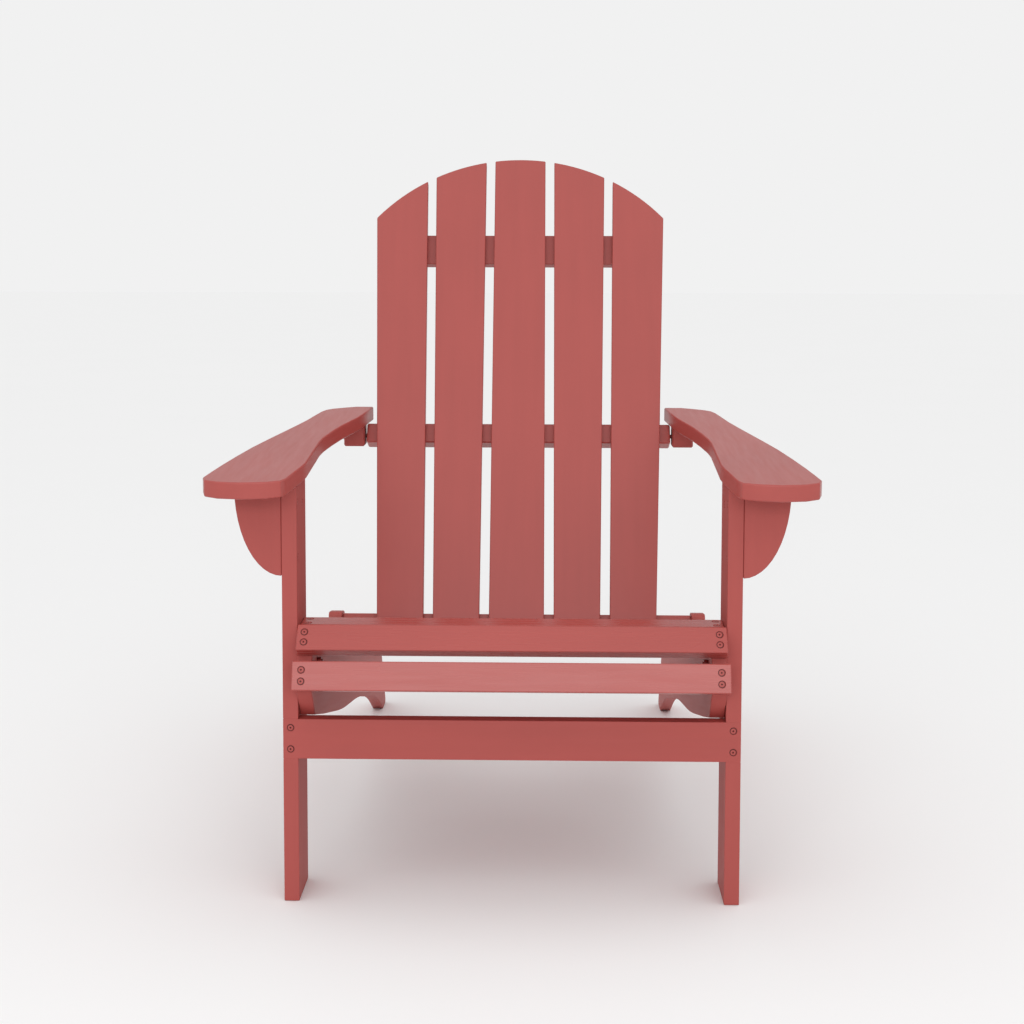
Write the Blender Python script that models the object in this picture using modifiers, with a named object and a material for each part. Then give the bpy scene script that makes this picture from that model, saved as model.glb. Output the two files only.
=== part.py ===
"""Adirondack chair in painted wood boards, modelled at full size in metres.

The chair faces -Y, +Z is up and the floor is Z = 0. The pieces are laid out from the
front face of the front legs (Y = 0 in the layout). One empty then carries them all, so
that the origin is the middle of the chair's footprint.
"""
import math

import bmesh
import bpy
from mathutils import Matrix, Vector

# Fits
GAP = 0.0003                 # clearance between faces that touch
EDGE = 0.001                 # eased edges of the boards
ROUND_SIDES = 16             # sides of a screw, a bolt and their holes

# Stock
BOARD = 0.019                # legs, side rails, apron, seat slats, brackets, cleats
BACK_BOARD = 0.015           # back slats and upper back rail
ARM_BOARD = 0.021
BAR = 0.030                  # square middle back rail

# Frame
FRAME_WIDTH = 0.572          # over the outer faces of the front legs
LEG_DEPTH = 0.075
APRON_LOW = 0.183
APRON_HEIGHT = 0.0506

# Side rails
SEAT_FALL = math.radians(13.41)   # the seat and the side rails fall to the rear
FOOT_FRONT = 0.866
HEEL_RUN = 0.136                  # from where the underside turns down back to the foot
HEEL_SWELL = 0.0035               # how far the foot's front edge swells over that run
# Underside between apron and heel: (share of the way back, height over a straight line)
UNDERSIDE_WAVE = ((0.116, -0.0030), (0.257, -0.0051), (0.383, -0.0055), (0.495, -0.0023),
                  (0.607, 0.0022), (0.705, 0.0034), (0.818, 0.0), (0.902, -0.0024),
                  (1.0, -0.0053))
FOOT_LENGTH = 0.046
END_LEAN = 0.098                  # how far the rear end leans forward to its top
EAR_HEIGHT = 0.028                # raised block that carries the lower back rail
EAR_LENGTH = 0.050
EAR_WIDTH = 0.0195
EAR_OUTSET = 0.0072               # how far the ear stands out of the rail's outer face
EAR_SINK = 0.022                  # how far it reaches down that face

# Seat: the slats of the front curve as (step in Y, step in Z, slope in degrees, width). A step
# goes from the underside of the slat before. The first starts at the legs' front, on the floor.
FRONT_SLATS = {
    "seat_slat_1": (-0.0262, 0.2763, 72.2, 0.0357),
    "seat_slat_2": (0.0096, 0.0054, 53.8, 0.0340),
    "seat_slat_3": (0.0052, -0.0125, 2.5, 0.0340),
}
FLAT_STEP = (0.0025, -0.0014)        # the same step, to the first flat slat
SEAT_SLATS = 5                    # flat slats behind the three of the front curve
SEAT_SLAT_WIDTH = 0.048
SEAT_SLAT_GAP = 0.0080
SLAT_END_GAP = 0.0005
NOSE_OVERLAP = 0.0018             # slat 1 lies in front of the legs and laps onto them
SEAT_SCREW_SHARES = (0.31, 0.70)  # of a front slat's width

# Back
RECLINE = math.radians(23.2)
SEAT_TO_BACK = 0.0038             # between the last seat slat and the back's front face
BACK_START = 0.040                # up the back, from the last seat slat to its measuring line
SLAT_DROP = 0.045                 # how far the slats reach below that line
CROWN_TOP = 0.719                 # top of the middle slat, up the back
CROWN_SPREAD = 0.0786             # the crown's radius less half the back's width
MIDDLE_SLAT_WIDTH = 0.080
BACK_GAP = 0.0140
BACK_INSET_LOW = 0.0443           # from a side rail in to the outer slat, at the seat
BACK_INSET_HIGH = 0.0243          # the same, SLAT_TAPER_RUN further up
SLAT_TAPER_RUN = 0.597
UPPER_RAIL_LOW = 0.545
UPPER_RAIL_HEIGHT = 0.049
UPPER_RAIL_INSET = 0.0184         # its ends lie this far within the back
MIDDLE_RAIL_INSET = 0.056         # its ends lie this far within the legs' outer faces
LOWER_RAIL_HEIGHT = 0.025
LOWER_RAIL_CLEAR = 0.0005         # over the side rails' top edges

# Arms
ARM_SLOPE = math.atan(0.066)      # the arms rise to the rear
ARM_FRONT = 0.078                 # reach in front of the legs
ARM_TOP = 0.5425                  # height of the top face at the very front
ARM_PAST_BAR = 0.0226             # behind the middle back rail's upper front edge
ARM_OVERHANG = 0.0875             # outside the legs
BRACKET_WIDTH = 0.0585
BRACKET_HEIGHT = 0.112
BRACKET_SETBACK = 0.001
CLEAT_HEIGHT = 0.040
CLEAT_SETBACK = 0.005             # behind the bracket, and before the leg's rear edge
BLOCK_WIDTH = 0.0315              # across the chair
BLOCK_LENGTH = BAR + 0.002        # front to back
BLOCK_HEIGHT = BAR * 1.15
BLOCK_SPACE = 0.003               # between the block and the end of the middle rail

# Hardware
SCREW_HEAD = 0.0045               # radius
SCREW_SHANK = 0.0019
SCREW_BITE = 0.019           # how far a screw goes into the second piece
SHORT_BITE = 0.015           # the same for the seat slats and the cleats
SCREW_SINK = 0.0003               # heads lie just under the surface
BOLT_HEAD = 0.0075
BOLT_HEAD_HEIGHT = 0.0035
BOLT_SHANK = 0.003
NUT_WIDTH = 0.010                 # across the flats
NUT_HEIGHT = 0.005
BOLT_PAST_NUT = 0.002
RAIL_BOLT_DROPS = (0.061, 0.033)    # below the underside of the curve's last slat
LOWER_RAIL_BITE = 0.039             # how far its bolts go into the lower back rail
BAR_BITE = 0.029                    # the same for the middle back rail
APRON_SCREW_SHARES = (0.243, 0.781)     # of the apron's height, from below
BRACKET_SCREW_SHARES = (0.798, 0.182)   # of the bracket's height, from above
CLEAT_SCREW_SHARE = 0.70                # of the cleat's height, from above

PAINT_COLOUR = (0.43, 0.115, 0.105)
SCREW_COLOUR = (0.21, 0.035, 0.035)
BOLT_COLOUR = (0.24, 0.045, 0.042)

LEG_OUTER = FRAME_WIDTH / 2
LEG_INNER = LEG_OUTER - BOARD
RAIL_OUTER = LEG_INNER - GAP
RAIL_INNER = RAIL_OUTER - BOARD
RAIL_MIDDLE = RAIL_OUTER - BOARD / 2
EAR_OUTER = RAIL_OUTER + EAR_OUTSET
EAR_INNER = EAR_OUTER - EAR_WIDTH
LEG_MIDDLE = LEG_OUTER - BOARD / 2
RAIL_REAR = FOOT_FRONT + FOOT_LENGTH
RAIL_HEEL = FOOT_FRONT - HEEL_RUN
ARM_OUTER = LEG_OUTER + ARM_OVERHANG
BACK_HALF_LOW = RAIL_INNER - BACK_INSET_LOW
BACK_HALF_HIGH = RAIL_INNER - BACK_INSET_HIGH
ARC_RADIUS = BACK_HALF_HIGH + CROWN_SPREAD
UPPER_RAIL_HALF = BACK_HALF_HIGH - UPPER_RAIL_INSET
MIDDLE_RAIL_HALF = LEG_OUTER - MIDDLE_RAIL_INSET
BRACKET_MIDDLE = BRACKET_SETBACK + BOARD / 2
CLEAT_FRONT = BRACKET_SETBACK + BOARD + CLEAT_SETBACK
CLEAT_REAR = LEG_DEPTH - CLEAT_SETBACK
SIDES = (("left", -1), ("right", 1))


def remove_all_objects():
    for old in list(bpy.data.objects):
        bpy.data.objects.remove(old, do_unlink=True)


def new_collection(name):
    collection = bpy.data.collections.new(name)
    bpy.context.scene.collection.children.link(collection)
    return collection


def new_material(name, colour, roughness):
    material = bpy.data.materials.new(name)
    material.use_nodes = True
    shader = material.node_tree.nodes["Principled BSDF"]
    shader.inputs["Base Color"].default_value = (*colour, 1.0)
    shader.inputs["Roughness"].default_value = roughness
    shader.inputs["Metallic"].default_value = 0.0
    return material


class Chair:
    """The collections, materials and root empty that every piece shares."""

    def __init__(self):
        self.pieces = new_collection("Adirondack chair")
        self.cutters = new_collection("Hole cutters")
        self.root = bpy.data.objects.new("chair_root", None)
        self.pieces.objects.link(self.root)
        self.root.location = (0, -footprint_middle(), 0)
        self.screw_paint = new_material("Screw paint", SCREW_COLOUR, 0.45)
        self.bolt_paint = new_material("Bolt paint", BOLT_COLOUR, 0.45)

    def add(self, name, mesh, matrix, material=None):
        if material is None:
            material = new_material(name + " paint", PAINT_COLOUR, 0.5)
        mesh.materials.clear()
        mesh.materials.append(material)
        piece = bpy.data.objects.new(name, mesh)
        self.pieces.objects.link(piece)
        piece.parent = self.root
        piece.matrix_local = matrix
        return piece

    def add_cutter(self, name, mesh, matrix):
        cutter = bpy.data.objects.new(name, mesh)
        self.cutters.objects.link(cutter)
        cutter.parent = self.root
        cutter.matrix_local = matrix
        cutter.hide_render = True
        cutter.display_type = 'WIRE'
        return cutter


# ---------------------------------------------------------------- shapes

def box_mesh(name, low, high):
    """A box between two corners."""
    low = Vector(low)
    high = Vector(high)
    mesh = bpy.data.meshes.new(name)
    work = bmesh.new()
    bmesh.ops.create_cube(work, size=1.0)
    bmesh.ops.scale(work, vec=high - low, verts=work.verts)
    bmesh.ops.translate(work, vec=(low + high) / 2, verts=work.verts)
    work.to_mesh(mesh)
    work.free()
    return mesh


def outline_mesh(name, points, thickness):
    """A flat outline in X and Y, filled and given its thickness about Z = 0."""
    curve = bpy.data.curves.new(name, 'CURVE')
    curve.dimensions = '2D'
    curve.fill_mode = 'BOTH'
    curve.extrude = thickness / 2
    spline = curve.splines.new('POLY')
    spline.points.add(len(points) - 1)
    for place, (across, along) in zip(spline.points, points):
        place.co = (across, along, 0, 1)
    spline.use_cyclic_u = True
    source = bpy.data.objects.new(name + "_outline", curve)
    bpy.context.scene.collection.objects.link(source)
    bpy.context.view_layer.update()
    graph = bpy.context.evaluated_depsgraph_get()
    mesh = bpy.data.meshes.new_from_object(source.evaluated_get(graph))
    bpy.data.objects.remove(source, do_unlink=True)
    work = bmesh.new()
    work.from_mesh(mesh)
    bmesh.ops.remove_doubles(work, verts=work.verts, dist=0.00002)
    bmesh.ops.dissolve_limit(work, angle_limit=0.01, verts=work.verts, edges=work.edges)
    bmesh.ops.recalc_face_normals(work, faces=work.faces)
    work.to_mesh(mesh)
    work.free()
    return mesh


def ease_edges(piece, width=EDGE):
    bevel = piece.modifiers.new("Eased edges", 'BEVEL')
    bevel.width = width
    bevel.segments = 1
    bevel.limit_method = 'ANGLE'
    bevel.angle_limit = math.radians(40)
    return piece


def side_view(x_middle):
    """Places an outline drawn in Y and Z so that its thickness runs along X."""
    return Matrix(((0, 0, 1, x_middle), (1, 0, 0, 0), (0, 1, 0, 0), (0, 0, 0, 1)))


def front_view(y_middle):
    """Places an outline drawn in X and Z so that its thickness runs along Y."""
    return Matrix(((1, 0, 0, 0), (0, 0, -1, y_middle), (0, 1, 0, 0), (0, 0, 0, 1)))


def back_view():
    """Local X across, local Z up the reclined back, local Y into its thickness."""
    start = back_point(0, 0)
    lean = Matrix.Rotation(-RECLINE, 4, 'X')
    return Matrix.Translation((0, start.x, start.y)) @ lean


def arm_view():
    """Local Y runs back along the sloping arm, and local Z = 0 is its top face."""
    rise = Matrix.Rotation(ARM_SLOPE, 4, 'X')
    return Matrix.Translation((0, -ARM_FRONT, ARM_TOP)) @ rise


def arm_underside(y):
    """Height of what carries the arm, a clearance below its underside."""
    top = ARM_TOP + (y + ARM_FRONT) * math.tan(ARM_SLOPE)
    return top - (ARM_BOARD + GAP) / math.cos(ARM_SLOPE)


def rounded(points, radii, steps=4):
    """Replaces each corner by an arc of its radius, where that isn't zero."""
    result = []
    count = len(points)
    for index in range(count):
        corner = Vector(points[index])
        radius = radii.get(index, 0)
        if not radius:
            result.append(tuple(corner))
            continue
        before = (Vector(points[index - 1]) - corner).normalized()
        after = (Vector(points[(index + 1) % count]) - corner).normalized()
        half = before.angle(after) / 2
        middle = corner + (before + after).normalized() * (radius / math.sin(half))
        start = corner + before * (radius / math.tan(half)) - middle
        end = corner + after * (radius / math.tan(half)) - middle
        turn = math.atan2(start.x * end.y - start.y * end.x, start.dot(end))
        for step in range(steps + 1):
            angle = turn * step / steps
            spoke = Matrix.Rotation(angle, 2) @ start
            result.append(tuple(middle + spoke))
    return result


def smooth_through(points, steps):
    """A curve through the points, from the first to the last."""
    ends = [points[0], *points, points[-1]]
    result = []
    for index in range(len(points) - 1):
        a, b, c, d = (Vector(place) for place in ends[index:index + 4])
        for step in range(steps):
            t = step / steps
            place = b * 2 + (c - a) * t + (a * 2 - b * 5 + c * 4 - d) * t * t
            place += (b * 3 - a - c * 3 + d) * t ** 3
            result.append(tuple(place / 2))
    result.append(tuple(points[-1]))
    return result


def crossing(point_a, way_a, point_b, way_b):
    """Where two lines in a plane meet."""
    span = way_a.x * way_b.y - way_a.y * way_b.x
    apart = point_b - point_a
    return point_a + way_a * ((apart.x * way_b.y - apart.y * way_b.x) / span)


# ---------------------------------------------------------------- hardware

def turned_mesh(name, profile):
    """The points and edges of a profile, from the top down its outer side."""
    mesh = bpy.data.meshes.new(name)
    points = [(radius, 0, height) for radius, height in profile]
    edges = [(index, index + 1) for index in range(len(points) - 1)]
    mesh.from_pydata(points, edges, [])
    return mesh


def turn(piece):
    screw = piece.modifiers.new("Turned", 'SCREW')
    screw.steps = ROUND_SIDES
    screw.render_steps = ROUND_SIDES
    screw.use_merge_vertices = True
    screw.merge_threshold = 0.00001
    return piece


def along(start, way):
    """Local Z points out of the head, so the shank runs along the given way."""
    turn_to = (-Vector(way)).to_track_quat('Z', 'Y').to_matrix().to_4x4()
    return Matrix.Translation(start) @ turn_to


def cut_all(targets, cutter):
    for target in targets:
        cut = target.modifiers.new(cutter.name, 'BOOLEAN')
        cut.operation = 'DIFFERENCE'
        cut.solver = 'EXACT'
        cut.object = cutter


def screw_profile(length, gap=0.0, lift=0.0):
    """A countersunk wood screw, or its hole when gap and lift are given."""
    head = SCREW_HEAD + gap
    shank = SCREW_SHANK + gap
    seat = SCREW_SINK + 0.0004
    return [(0, lift), (head, lift), (head, -seat), (shank, -seat - SCREW_HEAD + SCREW_SHANK),
            (shank, -length + shank - gap), (0, -length - gap)]


def add_screw(chair, name, start, way, targets, bite=SCREW_BITE):
    """A screw through one board, at whose face it starts, into the second piece."""
    place = along(start, way)
    length = BOARD + bite
    screw = turned_mesh(name, screw_profile(length, lift=-SCREW_SINK))
    turn(chair.add(name, screw, place, chair.screw_paint))
    hole = turned_mesh(name + "_hole", screw_profile(length, GAP, 0.001))
    cut_all(targets, turn(chair.add_cutter(name + "_hole", hole, place)))


def add_bolt(chair, name, start, way, length, targets):
    """A round-headed bolt. Its head stands on the surface at start."""
    place = along(start, way)
    crown = BOLT_HEAD_HEIGHT + GAP
    bolt = turned_mesh(name, [(0, crown), (BOLT_HEAD * 0.6, crown * 0.85), (BOLT_HEAD, crown * 0.3),
                              (BOLT_HEAD, GAP), (BOLT_SHANK, GAP), (BOLT_SHANK, -length), (0, -length)])
    turn(chair.add(name, bolt, place, chair.bolt_paint))
    bore = BOLT_SHANK + GAP
    hole = turned_mesh(name + "_hole", [(0, 0.001), (bore, 0.001), (bore, -length - GAP),
                                        (0, -length - GAP)])
    cutter = turn(chair.add_cutter(name + "_hole", hole, place))
    cut_all(targets, cutter)
    return cutter


def add_nut(chair, name, face, way, bolt_hole):
    """A hexagon nut that stands on the face and is bored by the bolt's own hole."""
    mesh = bpy.data.meshes.new(name)
    work = bmesh.new()
    radius = NUT_WIDTH / 2 / math.cos(math.pi / 6)
    bmesh.ops.create_cone(work, cap_ends=True, segments=6, radius1=radius, radius2=radius,
                          depth=NUT_HEIGHT)
    bmesh.ops.translate(work, vec=(0, 0, -NUT_HEIGHT / 2 - GAP), verts=work.verts)
    work.to_mesh(mesh)
    work.free()
    nut = chair.add(name, mesh, along(face, way), chair.bolt_paint)
    cut_all([nut], bolt_hole)


# ---------------------------------------------------------------- seat

def slat_lines():
    """Each seat slat's name, underside's lower or front edge, direction along it and width."""
    lines = []
    edge = Vector((0, 0))
    for name, (step_y, step_z, slope, width) in FRONT_SLATS.items():
        angle = math.radians(slope)
        way = Vector((math.cos(angle), math.sin(angle)))
        edge = edge + Vector((step_y, step_z))
        lines.append((name, edge, way, width))
        edge = edge + way * width
    fall = Vector((math.cos(SEAT_FALL), -math.sin(SEAT_FALL)))
    edge = edge + Vector(FLAT_STEP)
    for index in range(SEAT_SLATS):
        name = "seat_slat_%d" % (len(FRONT_SLATS) + index + 1)
        lines.append((name, edge, fall, SEAT_SLAT_WIDTH))
        edge = edge + fall * (SEAT_SLAT_WIDTH + SEAT_SLAT_GAP)
    return lines


def inward(way):
    """From a slat's face into its thickness."""
    return Vector((way.y, -way.x))


def add_seat_slats(chair):
    """Boards across the side rails. Returns them by name, with their lines."""
    slats = {}
    for index, (name, edge, way, width) in enumerate(slat_lines()):
        half = LEG_INNER - SLAT_END_GAP if index else LEG_INNER + NOSE_OVERLAP
        angle = math.atan2(way.y, way.x)
        place = Matrix.Translation((0, edge.x, edge.y)) @ Matrix.Rotation(angle, 4, 'X')
        mesh = box_mesh(name, (-half, 0, 0), (half, width, BOARD))
        slats[name] = ease_edges(chair.add(name, mesh, place))
    return slats


def seat_bed():
    """Where the side rails' top edge touches the slats, from the nose to the rear."""
    beds = []
    for name, edge, way, width in slat_lines():
        beds.append((edge + inward(way) * GAP, way))
    front = beds[:len(FRONT_SLATS) + 1]
    points = [front[0][0]]
    for (edge_a, way_a), (edge_b, way_b) in zip(front, front[1:]):
        points.append(crossing(edge_a, way_a, edge_b, way_b))
    return points, front[-1][0], front[-1][1]


# ---------------------------------------------------------------- frame

def on_bed(y):
    """The point at Y on the line of the side rails' top edge, behind the front curve."""
    nose, point, fall = seat_bed()
    return Vector((y, point.y + (y - point.x) * fall.y / fall.x))


def underside():
    """The side rail's wavy lower edge, from the foot's front forward to the apron."""
    fall = seat_bed()[2]
    start = Vector((BOARD - 0.002, APRON_LOW + APRON_HEIGHT + GAP * 3))
    run = RAIL_HEEL - start.x
    wave = [start]
    for share, lift in UNDERSIDE_WAVE:
        wave.append(Vector((start.x + run * share, start.y + run * share * fall.y / fall.x + lift)))
    heel = wave[-1]
    swell = Vector((RAIL_HEEL + HEEL_RUN / 2, heel.y / 2 + HEEL_SWELL))
    foot = Vector((FOOT_FRONT, 0))
    return smooth_through([foot, swell, *reversed(wave)], 2)


def rail_outline():
    """The side rail in Y and Z: nose, seat bed, rear end, foot and underside."""
    nose = seat_bed()[0]
    points = [tuple(point) for point in nose]
    points += [tuple(on_bed(RAIL_REAR - END_LEAN)), (RAIL_REAR, 0)]
    points += underside()
    points += [(nose[0].x + 0.012, nose[0].y - 0.005)]
    return rounded(points, {len(nose): 0.030, len(nose) + 1: 0.006})


def ear_outline():
    """The ear in Y and Z. Its lower part lies within and beside the rail."""
    middle = back_point(0, 0).x + BACK_BOARD
    front = on_bed(middle - EAR_LENGTH / 2)
    rear = on_bed(middle + EAR_LENGTH / 2)
    top = front.y + EAR_HEIGHT
    lean = math.tan(RECLINE) * EAR_HEIGHT
    points = [(front.x, front.y - EAR_SINK), (front.x + lean, top),
              (rear.x - EAR_LENGTH * 0.1, top - EAR_LENGTH * 0.1), (rear.x, rear.y - EAR_SINK)]
    return rounded(points, {1: 0.006, 2: 0.008})


def footprint_middle():
    """Midway from the arms' front to the rearmost point of the side rails."""
    rear = max(y for y, z in rail_outline())
    return (rear - ARM_FRONT) / 2


def add_side_rails(chair):
    rails = {}
    for side, sign in SIDES:
        name = "side_rail_" + side
        mesh = outline_mesh(name, rail_outline(), BOARD)
        rail = ease_edges(chair.add(name, mesh, side_view(sign * RAIL_MIDDLE)))
        ear = outline_mesh(name + "_ear", ear_outline(), EAR_WIDTH)
        place = side_view(sign * (EAR_INNER + EAR_WIDTH / 2))
        joined = rail.modifiers.new("Ear", 'BOOLEAN')
        joined.operation = 'UNION'
        joined.solver = 'EXACT'
        joined.object = ease_edges(chair.add_cutter(name + "_ear", ear, place))
        rails[side] = rail
    return rails


def add_front_legs(chair):
    """Legs with the apron let into their front edge and tops cut to the arms' slope."""
    apron_top = APRON_LOW + APRON_HEIGHT + GAP
    outline = [(0, 0), (LEG_DEPTH, 0), (LEG_DEPTH, arm_underside(LEG_DEPTH)), (0, arm_underside(0)),
               (0, apron_top), (BOARD + GAP, apron_top), (BOARD + GAP, APRON_LOW - GAP),
               (0, APRON_LOW - GAP)]
    legs = {}
    for side, sign in SIDES:
        name = "front_leg_" + side
        mesh = outline_mesh(name, outline, BOARD)
        legs[side] = ease_edges(chair.add(name, mesh, side_view(sign * LEG_MIDDLE)), EDGE / 2)
    return legs


def add_apron(chair):
    mesh = box_mesh("apron", (-LEG_OUTER, 0, APRON_LOW),
                    (LEG_OUTER, BOARD, APRON_LOW + APRON_HEIGHT))
    return ease_edges(chair.add("apron", mesh, Matrix.Identity(4)), EDGE / 2)


# ---------------------------------------------------------------- back

def back_point(depth, height):
    """Y and Z of a point so far behind the back's front face and so far up the back."""
    name, edge, way, width = slat_lines()[-1]
    up = Vector((math.sin(RECLINE), math.cos(RECLINE)))
    into = Vector((math.cos(RECLINE), -math.sin(RECLINE)))
    return edge + way * width + into * (SEAT_TO_BACK + depth) + up * (BACK_START + height)


def crown(x):
    """Height of the crown's arc up the back."""
    return CROWN_TOP - ARC_RADIUS + math.sqrt(ARC_RADIUS ** 2 - x ** 2)


def slat_edges(index, height):
    """Inner and outer edge of an outer back slat at a height up the back."""
    half = BACK_HALF_LOW + (BACK_HALF_HIGH - BACK_HALF_LOW) * height / SLAT_TAPER_RUN
    width = (half - MIDDLE_SLAT_WIDTH / 2) / 2 - BACK_GAP
    inner = MIDDLE_SLAT_WIDTH / 2 + BACK_GAP + index * (width + BACK_GAP)
    return inner, inner + width


def back_slat_outline(index, sign):
    """Outline of a slat across and up the back. Index None is the middle slat."""
    low = -SLAT_DROP
    if index is None:
        half = MIDDLE_SLAT_WIDTH / 2
        foot = [(-half, low), (half, low)]
        top = (half, -half)
    else:
        inner_low, outer_low = slat_edges(index, low)
        foot = [(inner_low * sign, low), (outer_low * sign, low)]
        mean = crown((inner_low + outer_low) / 2)
        inner_high, outer_high = slat_edges(index, mean)
        top = (outer_high * sign, inner_high * sign)
    steps = 8
    points = list(foot)
    for step in range(steps + 1):
        x = top[0] + (top[1] - top[0]) * step / steps
        points.append((x, crown(x)))
    return points


def add_back_slats(chair):
    place = back_view() @ front_view(BACK_BOARD / 2)
    kinds = [("back_slat_3", None, 1), ("back_slat_2", 0, -1), ("back_slat_4", 0, 1),
             ("back_slat_1", 1, -1), ("back_slat_5", 1, 1)]
    slats = {}
    for name, index, sign in kinds:
        mesh = outline_mesh(name, back_slat_outline(index, sign), BACK_BOARD)
        slats[name] = ease_edges(chair.add(name, mesh, place))
    return slats


def lower_rail_low():
    """How far up the back the lower rail's rear lower edge clears the side rails."""
    rear = back_point(BACK_BOARD + GAP + BOARD, 0)
    room = rear.y - on_bed(rear.x).y - LOWER_RAIL_CLEAR
    return -room / (math.cos(RECLINE) + math.sin(RECLINE) * math.tan(SEAT_FALL))


def bar_top():
    """How far up the back the middle rail's front edge meets what carries the arms."""
    foot = back_point(BACK_BOARD + GAP, 0)
    gain = math.cos(RECLINE) - math.sin(RECLINE) * math.tan(ARM_SLOPE)
    return (arm_underside(foot.x) - foot.y) / gain - GAP


def add_back_rails(chair):
    """Upper, middle and lower rails behind the back slats, leaning with the back."""
    front = BACK_BOARD + GAP
    bar = bar_top()
    upper = box_mesh("upper_back_rail", (-UPPER_RAIL_HALF, front, UPPER_RAIL_LOW),
                     (UPPER_RAIL_HALF, front + BACK_BOARD, UPPER_RAIL_LOW + UPPER_RAIL_HEIGHT))
    middle = box_mesh("middle_back_rail", (-MIDDLE_RAIL_HALF, front, bar - BAR),
                      (MIDDLE_RAIL_HALF, front + BAR, bar))
    half = EAR_INNER - GAP
    low = lower_rail_low()
    lower = box_mesh("lower_back_rail", (-half, front, low),
                     (half, front + BOARD, low + LOWER_RAIL_HEIGHT))
    rails = {}
    rails["upper"] = ease_edges(chair.add("upper_back_rail", upper, back_view()))
    rails["middle"] = ease_edges(chair.add("middle_back_rail", middle, back_view()), EDGE * 2)
    rails["lower"] = ease_edges(chair.add("lower_back_rail", lower, back_view()))
    return rails


# ---------------------------------------------------------------- arms

def bar_middle():
    """Y and Z of the middle back rail's axis."""
    return back_point(BACK_BOARD + GAP + BAR / 2, bar_top() - BAR / 2)


def arm_rear():
    return back_point(BACK_BOARD + GAP, bar_top()).x + ARM_PAST_BAR


def arm_outline(sign):
    """The arm from above: how far within its outermost edge, and how far back along it."""
    length = (arm_rear() + ARM_FRONT) / math.cos(ARM_SLOPE)
    outer = [(0, 0.033), (0.0075, length * 0.190), (0.024, length * 0.402),
             (0.0465, length * 0.605), (0.0655, length * 0.781), (0.0765, length - 0.048),
             (0.0895, length - 0.021), (0.1245, length)]
    inner = [(0.151, length), (0.1395, length * 0.832), (0.1235, length * 0.700),
             (0.1105, length * 0.533), (0.1095, length * 0.416), (0.112, length * 0.222),
             (0.108, length * 0.138), (0.103, 0.028)]
    front = [(0.098, 0.013), (0.082, 0.005), (0.052, 0), (0.022, 0.0045), (0.005, 0.015)]
    points = smooth_through(outer, 2) + smooth_through(inner, 2) + front
    return [((ARM_OUTER - inset) * sign, y) for inset, y in points]


def add_arms(chair):
    arms = {}
    place = arm_view() @ Matrix.Translation((0, 0, -ARM_BOARD / 2))
    for side, sign in SIDES:
        mesh = outline_mesh("arm_" + side, arm_outline(sign), ARM_BOARD)
        arms[side] = ease_edges(chair.add("arm_" + side, mesh, place), EDGE * 1.5)
    return arms


def bracket_outline(sign):
    """A quarter ellipse below the arm, against the outer face of the leg."""
    inner = LEG_OUTER + GAP
    top = arm_underside(BRACKET_SETBACK)
    steps = 12
    points = [(inner, top)]
    for step in range(steps + 1):
        angle = math.pi / 2 * (1 - step / steps)
        points.append((inner + BRACKET_WIDTH * math.cos(angle), top - BRACKET_HEIGHT * math.sin(angle)))
    return [(x * sign, z) for x, z in points]


def add_arm_supports(chair):
    """Brackets and cleats beside the front legs and blocks beside the middle rail."""
    supports = {}
    cleat_x = LEG_OUTER + GAP + BOARD / 2
    cleat_low = arm_underside(CLEAT_FRONT) - CLEAT_HEIGHT
    cleat = [(CLEAT_FRONT, cleat_low), (CLEAT_REAR, cleat_low),
             (CLEAT_REAR, arm_underside(CLEAT_REAR)), (CLEAT_FRONT, arm_underside(CLEAT_FRONT))]
    block_y = bar_middle().x
    block_front = block_y - BLOCK_LENGTH / 2
    block_rear = min(block_y + BLOCK_LENGTH / 2, arm_rear())
    block_low = arm_underside(block_front) - BLOCK_HEIGHT
    block = [(block_front, block_low), (block_rear, block_low),
             (block_rear, arm_underside(block_rear)), (block_front, arm_underside(block_front))]
    block_x = MIDDLE_RAIL_HALF + BLOCK_SPACE + BLOCK_WIDTH / 2
    for side, sign in SIDES:
        bracket = outline_mesh("arm_bracket_" + side, bracket_outline(sign), BOARD)
        piece = chair.add("arm_bracket_" + side, bracket, front_view(BRACKET_MIDDLE))
        supports["bracket", side] = ease_edges(piece)
        mesh = outline_mesh("arm_cleat_" + side, cleat, BOARD)
        piece = chair.add("arm_cleat_" + side, mesh, side_view(sign * cleat_x))
        supports["cleat", side] = ease_edges(piece)
        mesh = outline_mesh("arm_block_" + side, block, BLOCK_WIDTH)
        piece = chair.add("arm_block_" + side, mesh, side_view(sign * block_x))
        supports["block", side] = ease_edges(piece, EDGE * 2)
    return supports


# ---------------------------------------------------------------- fixings

def fix_apron(chair, side, sign, apron, leg):
    for index, share in enumerate(APRON_SCREW_SHARES, 1):
        height = APRON_LOW + APRON_HEIGHT * share
        name = "apron_screw_%s_%d" % (side, index)
        add_screw(chair, name, (sign * LEG_MIDDLE, 0, height), (0, 1, 0), [apron, leg])


def fix_front_slats(chair, side, sign, slats, rail):
    """Two screws through each end of the two steep front slats into the rails."""
    for name, edge, way, width in slat_lines()[:2]:
        into = inward(way)
        for index, share in enumerate(SEAT_SCREW_SHARES, 1):
            spot = edge - into * BOARD + way * (width * share)
            screw = "%s_screw_%s_%d" % (name, side, index)
            start = (sign * RAIL_MIDDLE, spot.x, spot.y)
            add_screw(chair, screw, start, (0, into.x, into.y), [slats[name], rail], SHORT_BITE)


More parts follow.
